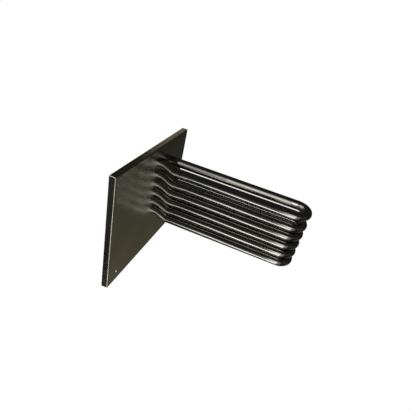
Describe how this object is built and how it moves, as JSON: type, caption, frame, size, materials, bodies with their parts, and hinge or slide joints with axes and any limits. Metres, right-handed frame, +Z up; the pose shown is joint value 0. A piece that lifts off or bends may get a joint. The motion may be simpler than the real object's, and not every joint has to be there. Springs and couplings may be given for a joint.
{
  "type": "furnace heat exchanger",
  "caption": "Folded sheet-steel panel carrying a column of hollow U-bent tubes whose open mouths pass through it, which heat a furnace's air stream.",
  "frame": {"origin": "the middle of the panel, on its tube side", "axes": "+X along the tubes, away from the panel; +Y across the panel towards the side the tubes are nearer to; +Z up the column of tubes"},
  "size_m": [0.6593, 0.6, 0.488],
  "materials": {
    "panel_steel": "semi-polished sheet steel with a vertical grain",
    "tube_steel": "smooth aluminised steel"
  },
  "bodies": {
    "root": {"front_panel": "panel_steel", "heat_tube_1": "tube_steel", "heat_tube_2": "tube_steel", "heat_tube_3": "tube_steel", "heat_tube_4": "tube_steel", "heat_tube_5": "tube_steel", "heat_tube_6": "tube_steel"}
  },
  "joints": []
}
